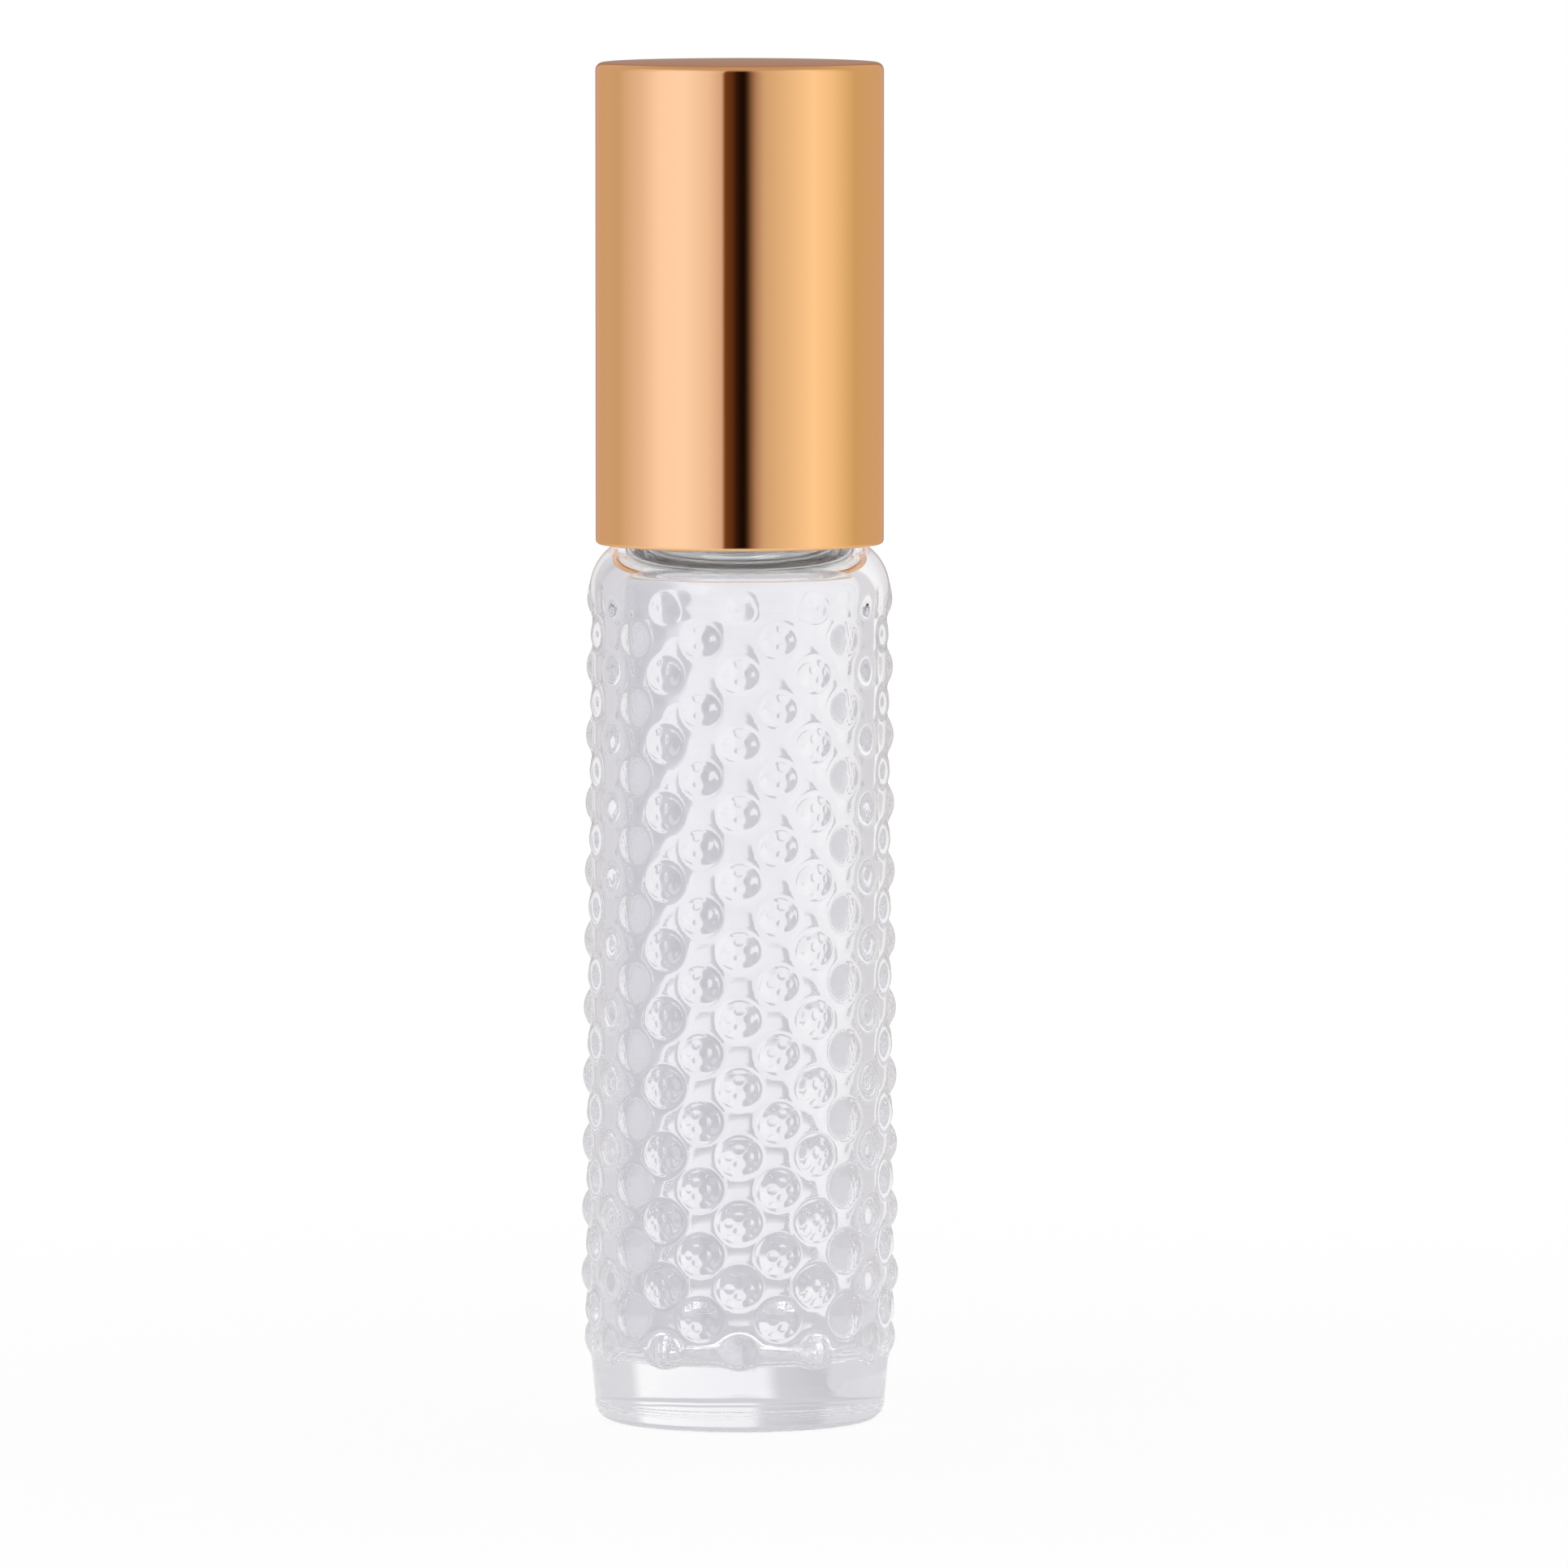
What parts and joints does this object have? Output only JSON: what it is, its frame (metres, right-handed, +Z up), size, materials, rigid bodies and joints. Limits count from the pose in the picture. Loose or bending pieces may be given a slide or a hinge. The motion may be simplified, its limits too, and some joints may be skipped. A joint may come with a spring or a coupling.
{
  "type": "roll-on bottle",
  "caption": "Slim clear glass roll-on bottle with a moulded bead pattern, a steel ball in a push-in plastic housing, and a tall gold metal screw cap.",
  "frame": {"origin": "centre of the ring that the bottle stands on, on the table", "axes": "+Z up the bottle's axis; the side that the picture shows faces -Y; +X to its right"},
  "size_m": [0.0206, 0.0206, 0.088],
  "materials": {
    "clear_glass": "clear moulded glass, fire-polished",
    "housing_plastic": "natural translucent polyethylene, moulded",
    "ball_steel": "polished stainless steel",
    "gold_aluminium": "bright dipped and anodised warm gold",
    "liner_plastic": "white polypropylene, moulded",
    "seal_rubber": "soft white elastomer"
  },
  "bodies": {
    "bottle": {"glass_bottle": "clear_glass", "roller_housing": "housing_plastic"},
    "ball": {"roller_ball": "ball_steel"},
    "seal": {"cap_seal": "seal_rubber"},
    "cap": {"cap_shell": "gold_aluminium", "cap_liner": "liner_plastic"}
  },
  "joints": [
    {"name": "ball_roll", "type": "hinge", "parent": "bottle", "child": "ball", "pos_m": [0, 0, 0.073], "axis": [1, 0, 0], "continuous": true},
    {"name": "cap_lift", "type": "slide", "parent": "bottle", "child": "seal", "axis": [0, 0, 1], "range_m": [0, 0.027]},
    {"name": "cap_twist", "type": "hinge", "parent": "seal", "child": "cap", "pos_m": [0, 0, 0.0568], "axis": [0, 0, 1], "range_deg": [0, 3240]}
  ],
  "couplings": [
    {"joint": "cap_lift", "follows": "cap_twist", "m_per_rad": 0.00047746}
  ]
}
